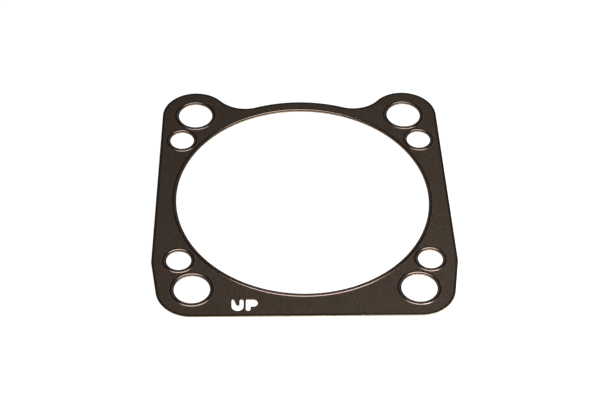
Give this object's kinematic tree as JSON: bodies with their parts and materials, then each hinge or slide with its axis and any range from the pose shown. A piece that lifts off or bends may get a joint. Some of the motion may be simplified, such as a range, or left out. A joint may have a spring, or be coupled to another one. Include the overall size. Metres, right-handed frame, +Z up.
{
  "type": "cylinder base gasket",
  "caption": "Thin flat gasket of dark coated spring steel with a large round bore, round holes in its corners and raised sealing beads round every opening.",
  "frame": {"origin": "centre of the bore on the gasket's under face", "axes": "+Z up along the bore's axis, out of the side with the raised beads; -Y towards the straight near edge; +X to the right seen with the near edge in front"},
  "size_m": [0.1272, 0.1317, 0.0007],
  "materials": {
    "coated_steel": "thin dark grey-brown coating with a satin sheen on spring steel, worn to bare metal at the blanked edges"
  },
  "bodies": {
    "root": {"gasket": "coated_steel"}
  },
  "joints": []
}
